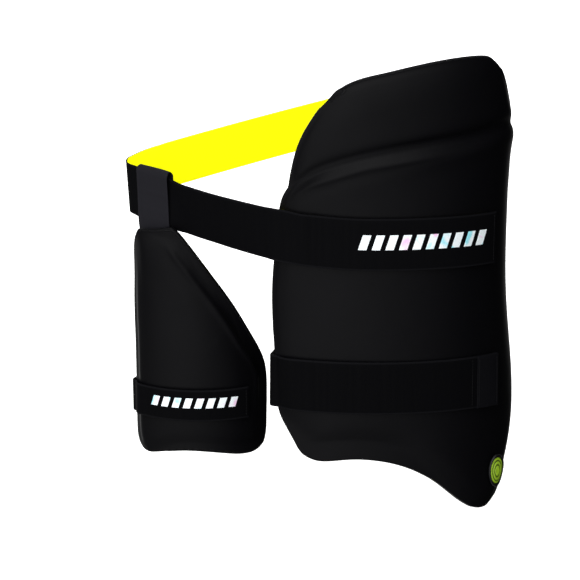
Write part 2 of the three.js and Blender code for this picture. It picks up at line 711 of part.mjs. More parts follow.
function hangerBody() {
  const lines = HANGER_LINES.map(hangerLine);
  const last = lines.length - 1;
  const rings = [];
  for (let step = 0; step <= HANGER_STEPS; step++) {
    const faces = lines.map((line, index) => {
      const run = line[Math.min(step + 1, HANGER_STEPS)].clone().sub(line[Math.max(step - 1, 0)]);
      const side = lines[Math.min(index + 1, last)][step].clone().sub(lines[Math.max(index - 1, 0)][step]);
      const normal = run.cross(side).normalize().multiplyScalar(HANGER_CLOTH / 2);
      return [line[step].clone().add(normal), line[step].clone().sub(normal)];
    });
    rings.push([...faces.map((pair) => pair[0]), ...faces.map((pair) => pair[1]).reverse()]);
  }
  return sweep(rings);
}

// A leg strap: from its free end along the outer face of its pad, round the pad's near edge,
// behind the thigh and in to the pad's far edge.
function strapPlaces(pad, { padWidth, left, end, marks, drop, width, cloth, wrap, sideReach, back, backReach, seamReach }) {
  const up = -drop;
  const edge = Math.min(...ACROSS.map((share) => {
    const wanted = up + share * width;
    return left.getSpacedPoints(80).reduce((best, place) =>
      (Math.abs(place.y - wanted) < Math.abs(best.y - wanted) ? place : best)).x;
  }));
  const slope = edge + pad.shoulder + 4;
  const outside = [
    ...onOuterFace(pad, end, end - marks, marks / 3, up, width, cloth),
    ...onOuterFace(pad, end - marks, slope, 8, up, width, cloth).slice(1),
    ...onOuterFace(pad, slope, edge, 2.5, up, width, cloth).slice(1),
  ];
  const middle = (pad.outerFace(edge, up) + pad.innerFace(edge, up)) / 2;
  const centre = pad.place(edge, up, middle);
  const radius = pad.rim / 2 + OUTSIDE_GAP + cloth / 2;
  const out = headingOf(pad.place(edge, up, 0), pad.place(edge, up, 1));
  const round = [];
  for (let turn = 35; turn <= wrap; turn += (wrap - 35) / 4) {
    const angle = radians(out - turn);
    round.push(new THREE.Vector3(centre.x + Math.cos(angle) * radius, centre.y + Math.sin(angle) * radius, up));
  }
  const seam = onInnerFace(pad, padWidth, STRAP_SEAM, up, width, cloth);
  const behind = new THREE.Vector3(pad.plan(back.share * padWidth).x, centre.y + back.depth, up);
  const route = [
    ...outside,
    ...round,
    ...bridge(round.at(-1), out - wrap - 90, sideReach * back.depth, behind, 0, backReach * padWidth, 12),
    ...bridge(behind, 0, backReach * padWidth, seam[0], headingOf(seam[0], seam[1]), seamReach * padWidth, 14),
    ...seam.slice(1),
  ];
  for (const place of route) place.z = up;
  for (const place of [round[0], behind]) place.lean = 0;
  return stations(route);
}
const outerStrapPlaces = strapPlaces(outer, {
  padWidth: OUTER_WIDTH,
  left: edgeCurve(OUTER_LEFT, OUTER_WIDTH, OUTER_HEIGHT),
  end: OUTER_STRAP_END,
  marks: TAB_LENGTH,
  drop: OUTER_STRAP_DROP,
  width: OUTER_STRAP_WIDTH,
  cloth: OUTER_STRAP_CLOTH,
  wrap: 82,
  sideReach: 0.5,
  back: { share: 0.4, depth: OUTER_LOOP_DEPTH },
  backReach: 0.24,
  seamReach: 0.25,
});
const innerStrapPlaces = strapPlaces(inner, {
  padWidth: INNER_WIDTH,
  left: innerLeft,
  end: INNER_STRAP_END,
  marks: 15,
  drop: INNER_STRAP_DROP,
  width: INNER_STRAP_WIDTH,
  cloth: INNER_STRAP_CLOTH,
  wrap: 62,
  sideReach: 0.45,
  back: { share: 0.45, depth: INNER_LOOP_DEPTH },
  backReach: 0.24,
  seamReach: 0.12,
});

// A round body that follows a pad's outer face. The profile is a closed loop of radius and height
// rows, and a row on the axis is one point.
function roundOnPad(pad, centreAlong, centreUp, profile, sides = 24) {
  const points = [];
  const index = profile.map(({ radius, height }) => {
    const count = radius > 0 ? sides : 1;
    const ring = [];
    for (let side = 0; side < count; side++) {
      const angle = radians((360 * side) / sides);
      const along = centreAlong + radius * Math.cos(angle);
      const up = centreUp + radius * Math.sin(angle);
      ring.push(points.push(pad.place(along, up, pad.outerFace(along, up) + height)) - 1);
    }
    return ring;
  });
  const triangles = [];
  index.forEach((ring, row) => {
    const next = index[(row + 1) % index.length];
    for (let side = 0; side < sides; side++) {
      const on = (side + 1) % sides;
      const [a, b] = ring.length > 1 ? [ring[side], ring[on]] : [ring[0], ring[0]];
      const [d, c] = next.length > 1 ? [next[side], next[on]] : [next[0], next[0]];
      if (a !== b) triangles.push([a, b, c]);
      if (c !== d) triangles.push([a, c, d]);
    }
  });
  return closedBody(points, triangles);
}
const badgeRadius = BADGE_DIAMETER / 2;
const discRadius = badgeRadius - BADGE_BORDER;
const badgeRim = roundOnPad(outer, BADGE_ALONG * OUTER_WIDTH, BADGE_UP * OUTER_HEIGHT, [
  { radius: discRadius, height: GAP },
  { radius: badgeRadius, height: GAP },
  { radius: badgeRadius, height: BADGE_HEIGHT - 0.8 },
  { radius: badgeRadius - 0.6, height: BADGE_HEIGHT },
  { radius: discRadius + 0.5, height: BADGE_HEIGHT },
  { radius: discRadius, height: BADGE_HEIGHT - 0.5 },
]);
const badgeDisc = roundOnPad(outer, BADGE_ALONG * OUTER_WIDTH, BADGE_UP * OUTER_HEIGHT, [
  { radius: 0, height: GAP + INSIDE_GAP / 4 },
  { radius: discRadius - GAP, height: GAP + INSIDE_GAP / 4 },
  { radius: discRadius - GAP, height: BADGE_HEIGHT - 1.1 },
  { radius: discRadius - GAP - 0.8, height: BADGE_HEIGHT - 0.6 },
  { radius: discRadius / 2, height: BADGE_HEIGHT - 0.4 },
  { radius: 0, height: BADGE_HEIGHT - 0.3 },
]);

const guard = new THREE.Group();
function addPiece(name, geometry, color, roughness) {
  const mesh = new THREE.Mesh(geometry, new THREE.MeshStandardMaterial({ color, roughness, metalness: 0 }));
  mesh.name = name;
  guard.add(mesh);
}
const outwards = beltStack / 2;
const strapHalf = OUTER_STRAP_CLOTH / 2;
addPiece('outer_pad', padBody(outer), 0x1b1b1d, 0.6);
addPiece('inner_pad', padBody(inner), 0x1b1b1d, 0.6);
addPiece('waist_belt', band(beltPlaces, BELT_WIDTH, outwards - BELT_CLOTH, outwards), 0x0e0e10, 0.8);
addPiece('belt_lining', band(beltPlaces, BELT_WIDTH, -outwards, LINING_CLOTH - outwards), 0xffff0a, 0.7);
addPiece('hanger_loop', hangerBody(), 0x28282c, 0.75);
addPiece('outer_leg_strap', band(outerStrapPlaces, OUTER_STRAP_WIDTH, -strapHalf, strapHalf), 0x0e0e10, 0.8);
addPiece('outer_strap_tab', band(outerStrapPlaces.slice(0, 4), OUTER_STRAP_WIDTH, strapHalf + GAP,
  strapHalf + GAP + TAB_CLOTH), 0x232326, 0.55);
addPiece('inner_leg_strap', band(innerStrapPlaces, INNER_STRAP_WIDTH, -INNER_STRAP_CLOTH / 2,
  INNER_STRAP_CLOTH / 2), 0x0e0e10, 0.8);
addPiece('badge_rim', badgeRim, 0x0c0c0d, 0.45);
addPiece('badge_disc', badgeDisc, 0xb4e01a, 0.45);

export default guard;
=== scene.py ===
# A cricket thigh guard as it is worn: two padded shells on one waist belt, each strapped to its leg.
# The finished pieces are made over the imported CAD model, in metres, with X to the wearer's left.
import math

import bpy
from mathutils import Matrix, Vector
from mathutils.bvhtree import BVHTree
from mathutils.kdtree import KDTree


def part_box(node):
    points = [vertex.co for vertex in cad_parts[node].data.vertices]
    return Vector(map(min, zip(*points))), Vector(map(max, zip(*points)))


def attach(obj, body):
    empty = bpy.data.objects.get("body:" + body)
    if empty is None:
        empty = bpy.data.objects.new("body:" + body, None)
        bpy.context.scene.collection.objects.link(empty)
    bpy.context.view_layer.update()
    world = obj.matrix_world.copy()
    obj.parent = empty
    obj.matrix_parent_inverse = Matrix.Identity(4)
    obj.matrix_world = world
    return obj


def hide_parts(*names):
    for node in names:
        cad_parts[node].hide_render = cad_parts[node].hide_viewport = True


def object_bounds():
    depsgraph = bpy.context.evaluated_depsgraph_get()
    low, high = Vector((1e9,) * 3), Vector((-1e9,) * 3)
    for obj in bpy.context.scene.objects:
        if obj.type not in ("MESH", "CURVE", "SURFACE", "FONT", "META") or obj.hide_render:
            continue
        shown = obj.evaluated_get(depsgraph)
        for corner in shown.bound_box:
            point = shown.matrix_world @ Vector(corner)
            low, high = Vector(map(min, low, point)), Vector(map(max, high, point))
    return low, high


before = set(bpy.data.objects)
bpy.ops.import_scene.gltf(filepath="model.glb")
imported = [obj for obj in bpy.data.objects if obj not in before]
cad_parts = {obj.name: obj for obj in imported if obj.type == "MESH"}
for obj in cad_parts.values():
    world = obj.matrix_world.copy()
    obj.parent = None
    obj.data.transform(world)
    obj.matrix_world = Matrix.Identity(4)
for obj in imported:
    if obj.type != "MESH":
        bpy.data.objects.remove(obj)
cad_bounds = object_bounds()

# Camera
# It looks at the front of the guard from a little above, through a long lens.
camera_distance = 1.4
camera_rise = math.radians(15)
camera_lens = 104.7
aim = Vector((-0.024, -0.128, -0.071))
bpy.ops.object.select_all(action="DESELECT")
bpy.ops.object.camera_add(
    location=aim + camera_distance * Vector((0, -math.cos(camera_rise), math.sin(camera_rise))),
    rotation=(math.pi / 2 - camera_rise, 0, 0),
)
camera = bpy.context.object
camera.data.sensor_width = 36
camera.data.lens = camera_lens
bpy.context.scene.camera = camera
bpy.context.scene.view_settings.view_transform = "Standard"

# Outer pad
# A shell of moulded foam under smooth stretch cloth, for the front of the thigh and the hip. The
# cloth is pressed into a hinge groove and sewn to a thin edge all round.
pad_cloth_dark = (0.0016, 0.0016, 0.002, 1)
pad_cloth_light = (0.0025, 0.0024, 0.0031, 1)
pad_thread = (0.004, 0.004, 0.0047, 1)
pad_seam = 0.0026
pad_stitch = 0.0034
outer_foam = 0.014
inner_foam = 0.012
foam_sink = 0.0012
foam_swell = 0.0002
foam_pressure = 4
foam_steps = 20
rim_depth = 2.2
corner_reach = 0.014
corner_rounds = 20


def only(piece):
    bpy.ops.object.select_all(action="DESELECT")
    piece.select_set(True)
    bpy.context.view_layer.objects.active = piece


def copy_of(node, name):
    """A merged copy of a CAD node's mesh, in four-sided faces, as the start of a finished piece."""
    piece = bpy.data.objects.new(name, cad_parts[node].data.copy())
    bpy.context.scene.collection.objects.link(piece)
    piece.data.materials.clear()
    only(piece)
    bpy.ops.object.mode_set(mode="EDIT")
    bpy.ops.mesh.select_all(action="SELECT")
    bpy.ops.mesh.customdata_custom_splitnormals_clear()
    bpy.ops.mesh.remove_doubles(threshold=0.00002)
    bpy.ops.mesh.tris_convert_to_quads(face_threshold=math.radians(50), shape_threshold=math.radians(70))
    bpy.ops.mesh.normals_make_consistent(inside=False)
    bpy.ops.object.mode_set(mode="OBJECT")
    return piece


def subdivide(piece, levels):
    only(piece)
    smoothing = piece.modifiers.new("Smoothing", "SUBSURF")
    smoothing.levels = levels
    smoothing.render_levels = levels
    bpy.ops.object.modifier_apply(modifier=smoothing.name)


def depths(piece, reach):
    """How thick the piece is under each vertex, up to reach."""
    mesh = piece.data
    tree = BVHTree.FromPolygons([v.co for v in mesh.vertices], [p.vertices for p in mesh.polygons])
    found = []
    for vertex in mesh.vertices:
        start = vertex.co - vertex.normal * 0.0003
        hit = tree.ray_cast(start, -vertex.normal, reach)
        found.append(reach if hit[0] is None else (hit[0] - vertex.co).length)
    return found


def sewn_edge(piece, foam):
    """Places a millimetre apart along the middle of the pad's rim, each with its run round it."""
    mesh = piece.data
    thick = depths(piece, rim_depth * foam)
    rim = [v.index for v in mesh.vertices if thick[v.index] >= rim_depth * foam]
    near = set(rim)
    links = {index: [] for index in rim}
    for edge in mesh.edges:
        a, b = edge.vertices
        if a in near and b in near:
            links[a].append(b)
            links[b].append(a)
    loop = [rim[0]]
    seen = {rim[0]}
    while True:
        ahead = [index for index in links[loop[-1]] if index not in seen]
        if not ahead:
            break
        loop.append(ahead[0])
        seen.add(ahead[0])
    places = []
    run = 0.0
    for index, vertex in enumerate(loop):
        here = mesh.vertices[vertex].co
        on = mesh.vertices[loop[(index + 1) % len(loop)]].co
        span = (on - here).length
        count = max(1, round(span / 0.001))
        for step in range(count):
            places.append((here.lerp(on, step / count), run + span * step / count))
        run += span
    return places


def note_edge(piece, places):
    """Stores how far each vertex is from the sewn edge, and how far round that edge it lies."""
    mesh = piece.data
    tree = KDTree(len(places))
    for index, (place, _) in enumerate(places):
        tree.insert(place, index)
    tree.balance()
    from_edge = mesh.attributes.new("from_edge", "FLOAT", "POINT")
    round_edge = mesh.attributes.new("round_edge", "FLOAT", "POINT")
    for vertex in mesh.vertices:
        _, index, distance = tree.find(vertex.co)
        from_edge.data[vertex.index].value = distance
        round_edge.data[vertex.index].value = places[index][1]


def fill_with_foam(piece, foam):
    """Blows the cloth up between its sewn edge and grooves, and holds it to the moulded shape."""
    mesh = piece.data
    moulded = [v.co.copy() for v in mesh.vertices]
    outwards = [v.normal.copy() for v in mesh.vertices]
    sewn = piece.vertex_groups.new(name="sewn")
    for index, depth in enumerate(depths(piece, rim_depth * foam)):
        free = min(max((depth - 0.7 * foam) / (0.25 * foam), 0), 1)
        if depth >= rim_depth * foam:
            free = 0
        sewn.add([index], 1 - free, "REPLACE")
        mesh.vertices[index].co -= outwards[index] * foam_sink * free
    only(piece)
    cloth = piece.modifiers.new("Filling", "CLOTH")
    cloth.settings.use_pressure = True
    cloth.settings.uniform_pressure_force = foam_pressure
    cloth.settings.effector_weights.gravity = 0
    cloth.settings.vertex_group_mass = sewn.name
    cloth.point_cache.frame_start = 1
    cloth.point_cache.frame_end = foam_steps
    for step in range(1, foam_steps + 1):
        bpy.context.scene.frame_set(step)
    bpy.ops.object.modifier_apply(modifier=cloth.name)
    for index, vertex in enumerate(mesh.vertices):
        moved = vertex.co - moulded[index]
        proud = moved.dot(outwards[index])
        aside = moved - outwards[index] * proud
        if aside.length > foam_sink:
            aside = aside.normalized() * foam_sink
        proud = min(max(proud, -foam_sink), foam_swell)
        vertex.co = moulded[index] + outwards[index] * proud + aside
    piece.vertex_groups.clear()
    bpy.context.scene.frame_set(1)


def put(tree, kind, inputs=None, **settings):
    """A node with its settings and its inputs, each a value or another node's socket."""
    node = tree.nodes.new(kind)
    for name, value in settings.items():
        setattr(node, name, value)
    for name, value in (inputs or {}).items():
        if isinstance(value, bpy.types.NodeSocket):
            tree.links.new(value, node.inputs[name])
        else:
            node.inputs[name].default_value = value
    return node


def sums(tree, operation, a, b=0.0, c=0.0):
    return put(tree, "ShaderNodeMath", {0: a, 1: b, 2: c}, operation=operation).outputs[0]


def between(tree, value, start, end, low, high):
    """Maps a value from one range onto another, and holds it at the ends."""
    return put(tree, "ShaderNodeMapRange", {0: value, 1: start, 2: end, 3: low, 4: high}).outputs[0]


def blend(tree, share, first, second):
    """A colour between two others."""
    return put(tree, "ShaderNodeMix", {"Factor": share, 6: first, 7: second}, data_type="RGBA").outputs[2]


def stored(tree, name):
    """A value that the mesh stores at its vertices."""
    return put(tree, "ShaderNodeAttribute", attribute_name=name).outputs["Fac"]


def new_finish(name):
    material = bpy.data.materials.new(name)
    material.use_nodes = True
    return material, material.node_tree, material.node_tree.nodes["Principled BSDF"]


def effect(name, inputs, outputs):
    """An empty node group with named inputs and outputs."""
    tree = bpy.data.node_groups.new(name, "ShaderNodeTree")
    for socket, kind, value in inputs:
        made = tree.interface.new_socket(socket, in_out="INPUT", socket_type=kind)
        if value is not None:
            made.default_value = value
    for socket, kind in outputs:
        tree.interface.new_socket(socket, in_out="OUTPUT", socket_type=kind)
    return tree, tree.nodes.new("NodeGroupInput"), tree.nodes.new("NodeGroupOutput")


def cloth_grain():
    """Fine knit, with broad patches where the cloth is handled more."""
    tree, given, result = effect(
        "Cloth grain",
        [("Vector", "NodeSocketVector", None), ("Knit", "NodeSocketFloat", 1400),
         ("Patch", "NodeSocketFloat", 18)],
        [("Height", "NodeSocketFloat"), ("Handled", "NodeSocketFloat")],
    )
    fine = put(tree, "ShaderNodeTexNoise", {
        "Vector": given.outputs["Vector"], "Scale": given.outputs["Knit"], "Detail": 2.0, "Roughness": 0.6})
    loops = put(tree, "ShaderNodeTexVoronoi", {
        "Vector": given.outputs["Vector"], "Scale": given.outputs["Knit"]})
    patch = put(tree, "ShaderNodeTexNoise", {
        "Vector": given.outputs["Vector"], "Scale": given.outputs["Patch"], "Detail": 5.0, "Roughness": 0.55})
    height = sums(tree, "MULTIPLY_ADD", loops.outputs["Distance"], -0.6, fine.outputs[0])
    tree.links.new(height, result.inputs["Height"])
    tree.links.new(patch.outputs[0], result.inputs["Handled"])
    return tree


grain = cloth_grain()


def stitch_row(tree, across, along, line, width, length):
    """A mask of one row of stitches: across is the distance from the edge, along the way round it."""
    aside = sums(tree, "ABSOLUTE", sums(tree, "SUBTRACT", across, line))
    on_line = between(tree, aside, width / 2, width, 1.0, 0.0)
    beat = sums(tree, "PINGPONG", sums(tree, "DIVIDE", along, length), 1.0)
    sewn = between(tree, beat, 0.25, 0.4, 0.0, 1.0)
    return sums(tree, "MULTIPLY", on_line, sewn)


def pad_cloth():
    material, tree, shader = new_finish("pad cloth")
    place = put(tree, "ShaderNodeTexCoord").outputs["Object"]
    knit = put(tree, "ShaderNodeGroup", node_tree=grain)
    tree.links.new(place, knit.inputs["Vector"])
    edge = stored(tree, "from_edge")
    way = stored(tree, "round_edge")
    stitches = stitch_row(tree, edge, way, pad_stitch, 0.0007, pad_stitch)
    colour = blend(tree, knit.outputs["Handled"], pad_cloth_dark, pad_cloth_light)
    threaded = blend(tree, stitches, colour, pad_thread)
    tree.links.new(threaded, shader.inputs["Base Color"])
    worn = between(tree, knit.outputs["Handled"], 0.3, 0.7, 0.38, 0.3)
    tree.links.new(worn, shader.inputs["Roughness"])
    pinch = sums(tree, "ABSOLUTE", sums(tree, "SUBTRACT", edge, pad_seam))
    pressed = between(tree, pinch, 0.0, 0.0011, -1.0, 0.0)
    relief = sums(tree, "ADD", sums(tree, "MULTIPLY", stitches, 1.2), pressed)
    uneven = put(tree, "ShaderNodeBump", {
        "Strength": 0.35, "Distance": 0.0016, "Height": knit.outputs["Handled"]}).outputs[0]
    seam = put(tree, "ShaderNodeBump", {
        "Strength": 0.7, "Distance": 0.0005, "Height": relief, "Normal": uneven}).outputs[0]
    surface = put(tree, "ShaderNodeBump", {
        "Strength": 0.12, "Distance": 0.0002, "Height": knit.outputs["Height"], "Normal": seam}).outputs[0]
    tree.links.new(surface, shader.inputs["Normal"])
    shader.inputs["Specular IOR Level"].default_value = 0.05
    return material


pad_finish = pad_cloth()


def cage_corners(piece):
    """The places where the net of faces turns a corner, which three edges meet at."""
    edges_at = [0] * len(piece.data.vertices)
    for edge in piece.data.edges:
        for index in edge.vertices:
            edges_at[index] += 1
    return [piece.data.vertices[index].co.copy() for index, count in enumerate(edges_at) if count == 3]


def even_out(piece, places, reach):
    """Relaxes the cloth round these places, so that no pinch shows there."""
    for part in (piece.data.polygons, piece.data.edges):
        for item in part:
            item.select = False
    for vertex in piece.data.vertices:
        vertex.select = any((vertex.co - place).length < reach for place in places)
    only(piece)
    bpy.ops.object.mode_set(mode="EDIT")
    bpy.ops.mesh.select_mode(type="VERT")
    bpy.ops.mesh.vertices_smooth(factor=0.5, repeat=corner_rounds)
    bpy.ops.object.mode_set(mode="OBJECT")


def padded_shell(node, name, foam, finer):
    piece = copy_of(node, name)
    corners = cage_corners(piece)
    edge = sewn_edge(piece, foam)
    subdivide(piece, 1)
    fill_with_foam(piece, foam)
    subdivide(piece, finer)
    even_out(piece, corners, corner_reach)
    note_edge(piece, edge)
    piece.data.materials.append(pad_finish)
    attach(piece, "root")
    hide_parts(node)
    return piece


def ease(value, start, end):
    """0 before start, 1 after end, and a smooth rise between them."""
    share = min(max((value - start) / (end - start), 0.0), 1.0)
    return share * share * (3 - 2 * share)


def mound(distance, width):
    return math.exp(-((distance / width) ** 2))


def height_along(line, x):
    """The height of a line of points, seen from the front, at a place across."""
    for (x_a, z_a), (x_b, z_b) in zip(line, line[1:]):
        if x <= x_b:
            return z_a + (z_b - z_a) * max(0.0, (x - x_a) / (x_b - x_a))
    return line[-1][1]


outer_shell = padded_shell("outer_pad", "outer_shell", outer_foam, 1)

# The hinge groove is pressed deeper towards the side, where the shell bends most, down to its edge,
# and a fold of the cloth stands up along the ridge under it. The shell's upper inner corner is drawn
# out to a full round, and the leg strap bears a little on the cloth at the side.
groove_line = (
    (-0.028, 0.0120), (-0.0075, 0.0264), (0.037, 0.0412), (0.0884, 0.0500),
    (0.1253, 0.0548), (0.1439, 0.0592), (0.157, 0.0620),
)
groove_press = 0.0016
groove_width = 0.006
ridge_drop = 0.0105
ridge_height = 0.0007
ridge_width = 0.0026
round_way = Vector((-0.6, 0, 0.8))
round_places = ((Vector((0.025, 0.096)), 0.023, 0.0027), (Vector((0.0155, 0.0905)), 0.008, 0.0014))
strap_rest = Vector((0.1575, -0.072, -0.174))
strap_reach = 0.009
strap_sink = 0.0006
thigh_axis = Vector((0.05, 0.02))
outwards = [v.normal.copy() for v in outer_shell.data.vertices]
for vertex, outward in zip(outer_shell.data.vertices, outwards):
    x, _, z = vertex.co
    outside = ease((vertex.co.to_2d() - thigh_axis).normalized().dot(outward.to_2d()), 0.0, 0.3)
    above = z - height_along(groove_line, x)
    pressed = groove_press * ease(x, 0.02, 0.13) * mound(above, groove_width)
    along_ridge = ease(x, -0.03, 0.0) * (1 - ease(x, 0.07, 0.12))
    raised = ridge_height * mound(above + ridge_drop, ridge_width) * along_ridge
    bearing = strap_sink * mound((vertex.co - strap_rest).length, strap_reach)
    vertex.co += outward * ((raised - pressed) * outside - bearing)
    seen_at = Vector((x, z))
    drawn = sum(draw * mound((seen_at - place).length, width) for place, width, draw in round_places)
    vertex.co += round_way * drawn
only(outer_shell)
bpy.ops.object.shade_smooth()

# Inner pad
# The same foam and cloth in a small shell for the inside of the other thigh, cut away on a slant
# towards the middle. Its top is drawn up and forward over the hanger's foot, and a roll of foam runs
# along the slant.
inner_shell = padded_shell("inner_pad", "inner_shell", inner_foam, 2)
inner_low, inner_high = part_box("inner_pad")
inner_top = inner_high[2]
top_draw = Vector((-0.0008, -0.0013, 0.0052))
top_depth = 0.045
left_draw = 0.0014
roll_height = 0.0012
roll_inset = 0.0165
roll_width = 0.0028
knee_axis = Vector((-0.10, 0.0))
roll_start = inner_low[0] + 0.028
insets = [item.value for item in inner_shell.data.attributes["from_edge"].data]
outwards = [v.normal.copy() for v in inner_shell.data.vertices]
for vertex, outward, inset in zip(inner_shell.data.vertices, outwards, insets):
    outside = ease((vertex.co.to_2d() - knee_axis).normalized().dot(outward.to_2d()), 0.1, 0.5)
    slanted = ease(vertex.co.x, roll_start, roll_start + 0.012)
    slanted *= ease(vertex.co.z, inner_low[2] + 0.03, inner_low[2] + 0.07)
    vertex.co += outward * roll_height * mound(inset - roll_inset, roll_width) * slanted * outside
    drawn = ease(vertex.co.z, inner_top - top_depth, inner_top)
    left = 1 - ease(vertex.co.x, inner_low[0] + 0.012, inner_low[0] + 0.035)
    vertex.co += top_draw * drawn - Vector((left_draw * left * drawn, 0, 0))
only(inner_shell)
bpy.ops.object.shade_smooth()

# Waist belt
# Woven elastic, black outside and lined with bright yellow, sewn inside the outer pad's far edge. It
# runs behind the wearer, folds round on the right side and closes on the front of the outer pad.
belt_black = (0.0015, 0.0015, 0.0019, 1)
belt_shade = (0.002, 0.002, 0.0025, 1)
# The edge colour is lighter than the band: a painted highlight along both edges, where light would catch
# them.
belt_edge_highlight = (0.004, 0.004, 0.0048, 1)
lining_inset = 0.0032
lining_yellow = (1.0, 1.0, 0.004, 1)
lining_shade = (0.95, 0.93, 0.004, 1)
belt_rib = 0.0011
elastic_rough = 0.7
elastic_gloss = 0.02
end_reach = 0.0034


def rings_of(node, count, at_end):
    """The CAD band's cross sections, in order from its end. at_end is true of the corners there, and
    of two such ends the front one is taken."""
    piece = copy_of(node, "band")
    mesh = piece.data
    beside = {v.index: set() for v in mesh.vertices}
    for edge in mesh.edges:
        a, b = edge.vertices
        beside[a].add(b)
        beside[b].add(a)
    left = {index for index in beside if at_end(mesh.vertices[index].co)}
    groups = []
    while left:
        group = {left.pop()}
        grown = True
        while grown:
            more = {near for index in group for near in beside[index] if near in left}
            grown = bool(more)
            group |= more
            left -= more
        groups.append(group)
    ring = min(groups, key=lambda group: sum(mesh.vertices[index].co.y for index in group) / len(group))
    rings = []
    seen = set()
    while ring:
        if len(ring) != count:
            raise ValueError(f"{node}: cross section {len(rings)} has {len(ring)} corners")
        rings.append([mesh.vertices[index].co.copy() for index in sorted(ring)])
        seen |= ring
        ring = {near for index in ring for near in beside[index]} - seen
    bpy.data.objects.remove(piece)
    return rings


def near_plan(x, y):
    """True of the corners within a few millimetres of a place, seen from above."""
    return lambda corner: (corner.to_2d() - Vector((x, y))).length < end_reach


class Webbing:
    """A band of cloth through the cross sections of its CAD node. A place on it is given by its run
    from the free end, its place across and its height over the middle of the cloth."""

    def __init__(self, node, count, at_end, across):
        self.columns = []
        side = Vector(across)
        rings = rings_of(node, count, at_end)
        for ring in rings:
            middle = sum(ring, Vector()) / count
            far = max(((a - b) for a in ring for b in ring), key=lambda gap: gap.length).normalized()
            side = far if far.dot(side) > 0 else -far
            ordered = sorted(ring, key=lambda corner: (corner - middle).dot(side))
            self.columns.append([(ordered[i] + ordered[i + 1]) / 2 for i in range(0, count, 2)])
        self.runs = [0.0]
        for before, after in zip(self.columns, self.columns[1:]):
            step = sum((b - a).length for a, b in zip(before, after)) / len(before)
            self.runs.append(self.runs[-1] + step)
        self.length = self.runs[-1]
        first = self.columns[0]
        self.width = sum((b - a).length for a, b in zip(first, first[1:]))
        self.cloth = min((a - b).length for a in rings[0] for b in rings[0] if a is not b)
        self.turn = 1
        if self.normal(0.0, 0.0).y > 0:
            self.turn = -1

    def middle(self, run, across):
        run = min(max(run, 0.0), self.length)
        after = next((i for i, place in enumerate(self.runs) if place >= run), len(self.runs) - 1)
        after = max(after, 1)
        share = (run - self.runs[after - 1]) / (self.runs[after] - self.runs[after - 1])
        picks = [min(max(after + offset, 0), len(self.runs) - 1) for offset in (-2, -1, 0, 1)]
        line = []
        for column in range(len(self.columns[0])):
            a, b, c, d = (self.columns[pick][column] for pick in picks)
            line.append(0.5 * (2 * b + (c - a) * share + (2 * a - 5 * b + 4 * c - d) * share**2
                               + (3 * b - a - 3 * c + d) * share**3))
        spot = (across / self.width + 0.5) * (len(line) - 1)
        column = min(max(int(spot), 0), len(line) - 2)
        return line[column].lerp(line[column + 1], spot - column)

    def normal(self, run, across):
        step = 0.0008
        along = self.middle(run + step, across) - self.middle(run - step, across)
        aside = self.middle(run, across + step) - self.middle(run, across - step)
        return self.turn * along.cross(aside).normalized()

    def place(self, run, across, height):
        base = self.middle(run, across)
        past = min(run, 0.0) + max(run - self.length, 0.0)
        if past:
            inner = min(max(run, 0.0), self.length)
            back = self.middle(inner - 0.001, across)
            on = self.middle(inner + 0.001, across)
            base = base + (on - back).normalized() * past
        return base + self.normal(run, across) * height


def lay_on(piece, webbing):
    """Takes a flat piece, drawn with its run along X, its place across along Y and its height along
    Z, onto the webbing."""
    for vertex in piece.data.vertices:
        vertex.co = webbing.place(*vertex.co)
    piece.data.update()
    only(piece)
    bpy.ops.object.mode_set(mode="EDIT")
    bpy.ops.mesh.select_all(action="SELECT")
    bpy.ops.mesh.normals_make_consistent(inside=False)
    bpy.ops.object.mode_set(mode="OBJECT")


def webbing_piece(name, webbing, step, rows, soft_edge, width_at=None, shift=0.0, start=0.0):
    """The band itself: a flat strip, thickened, with soft edges, laid on its own route. width_at
    gives its width at each run, where that isn't the node's own, shift moves it across, and start
    cuts its free end back."""
    bpy.ops.object.select_all(action="DESELECT")
    columns = max(2, round(webbing.length / step))
    bpy.ops.mesh.primitive_grid_add(x_subdivisions=columns, y_subdivisions=rows, size=1)
    piece = bpy.context.object
    piece.name = name
    mesh = piece.data
    run = mesh.attributes.new("run", "FLOAT", "POINT")
    across = mesh.attributes.new("across", "FLOAT", "POINT")
    for vertex in mesh.vertices:
        here = start + (vertex.co.x + 0.5) * (webbing.length - start)
        run.data[vertex.index].value = here
        across.data[vertex.index].value = vertex.co.y
        width = width_at(here) if width_at else webbing.width
        vertex.co = (here, vertex.co.y * width + shift, 0)
    wall = piece.modifiers.new("Cloth", "SOLIDIFY")
    wall.thickness = webbing.cloth
    wall.offset = 0
    edges = piece.modifiers.new("Edges", "BEVEL")
    edges.width = soft_edge
    edges.segments = 3
    edges.limit_method = "ANGLE"
    bpy.ops.object.modifier_apply(modifier=wall.name)
    bpy.ops.object.modifier_apply(modifier=edges.name)
    lay_on(piece, webbing)
    bpy.ops.object.shade_smooth_by_angle(angle=math.radians(50))
    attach(piece, "root")
    return piece


